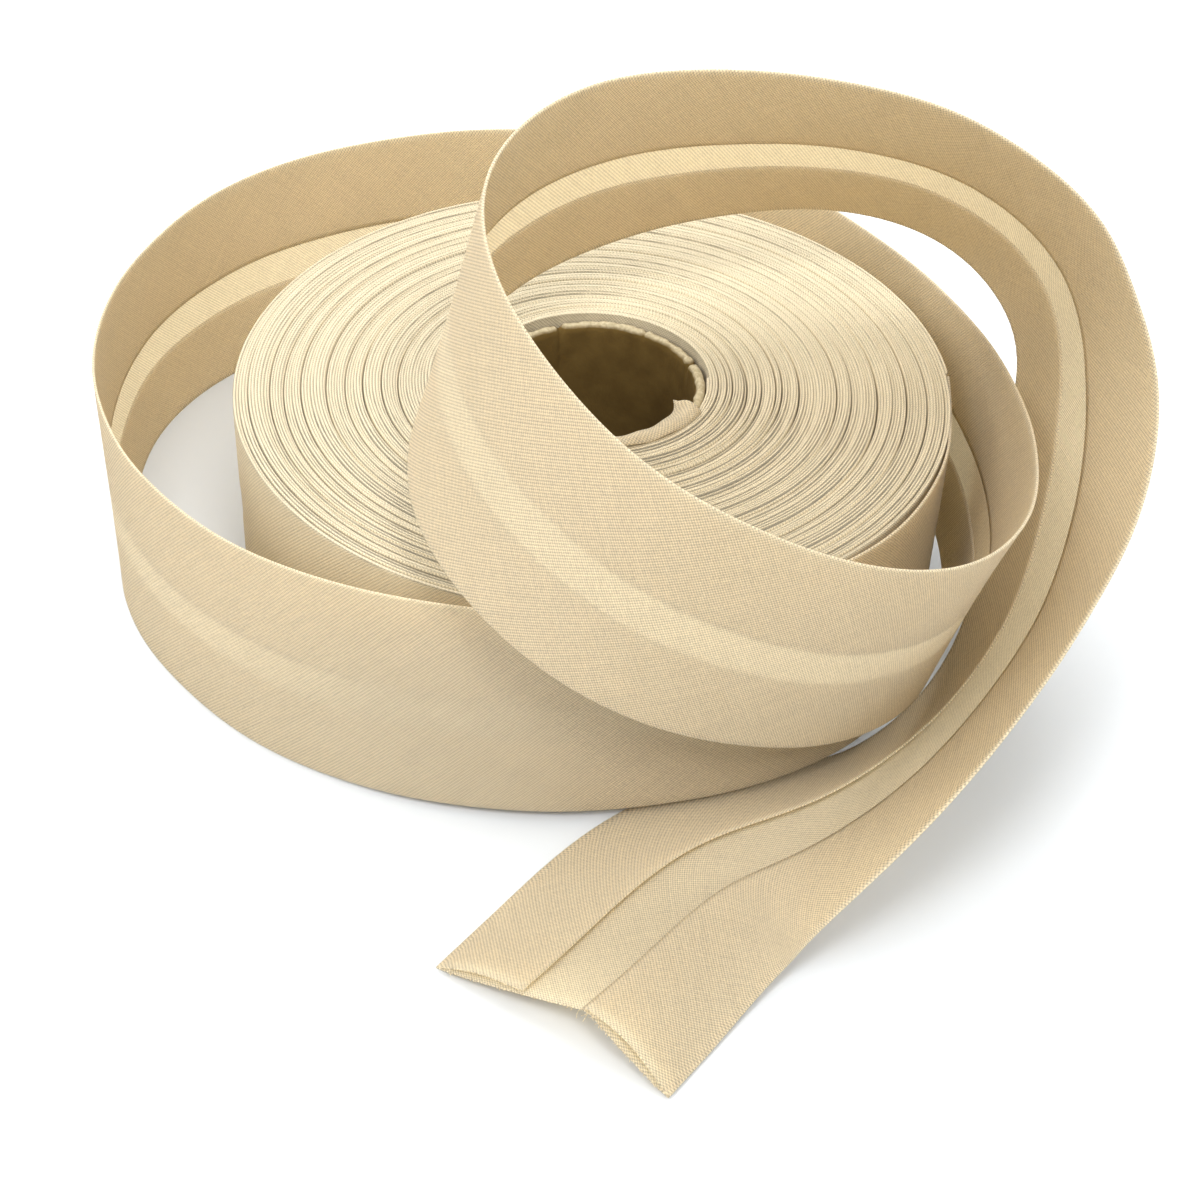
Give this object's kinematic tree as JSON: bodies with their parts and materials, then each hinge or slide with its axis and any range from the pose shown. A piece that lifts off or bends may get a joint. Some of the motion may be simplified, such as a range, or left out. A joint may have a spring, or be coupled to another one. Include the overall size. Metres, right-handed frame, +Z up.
{
  "type": "roll of bias binding",
  "caption": "Roll of folded bias binding on a card tube, with its loose end looped once round it, arching over and lying on the table.",
  "frame": {"origin": "middle of the whole part's outline on the table", "axes": "+Z up along the roll's axis, -Y towards the cut end of the loose tape"},
  "size_m": [0.128, 0.1482, 0.0778],
  "materials": {
    "binding": "plain-weave cotton cut on the bias, natural beige",
    "card": "grey-brown board with a ragged cut rim"
  },
  "bodies": {
    "root": {"card_tube": "card", "wound_roll": "binding", "inner_end": "binding", "loose_tape": "binding"}
  },
  "joints": []
}
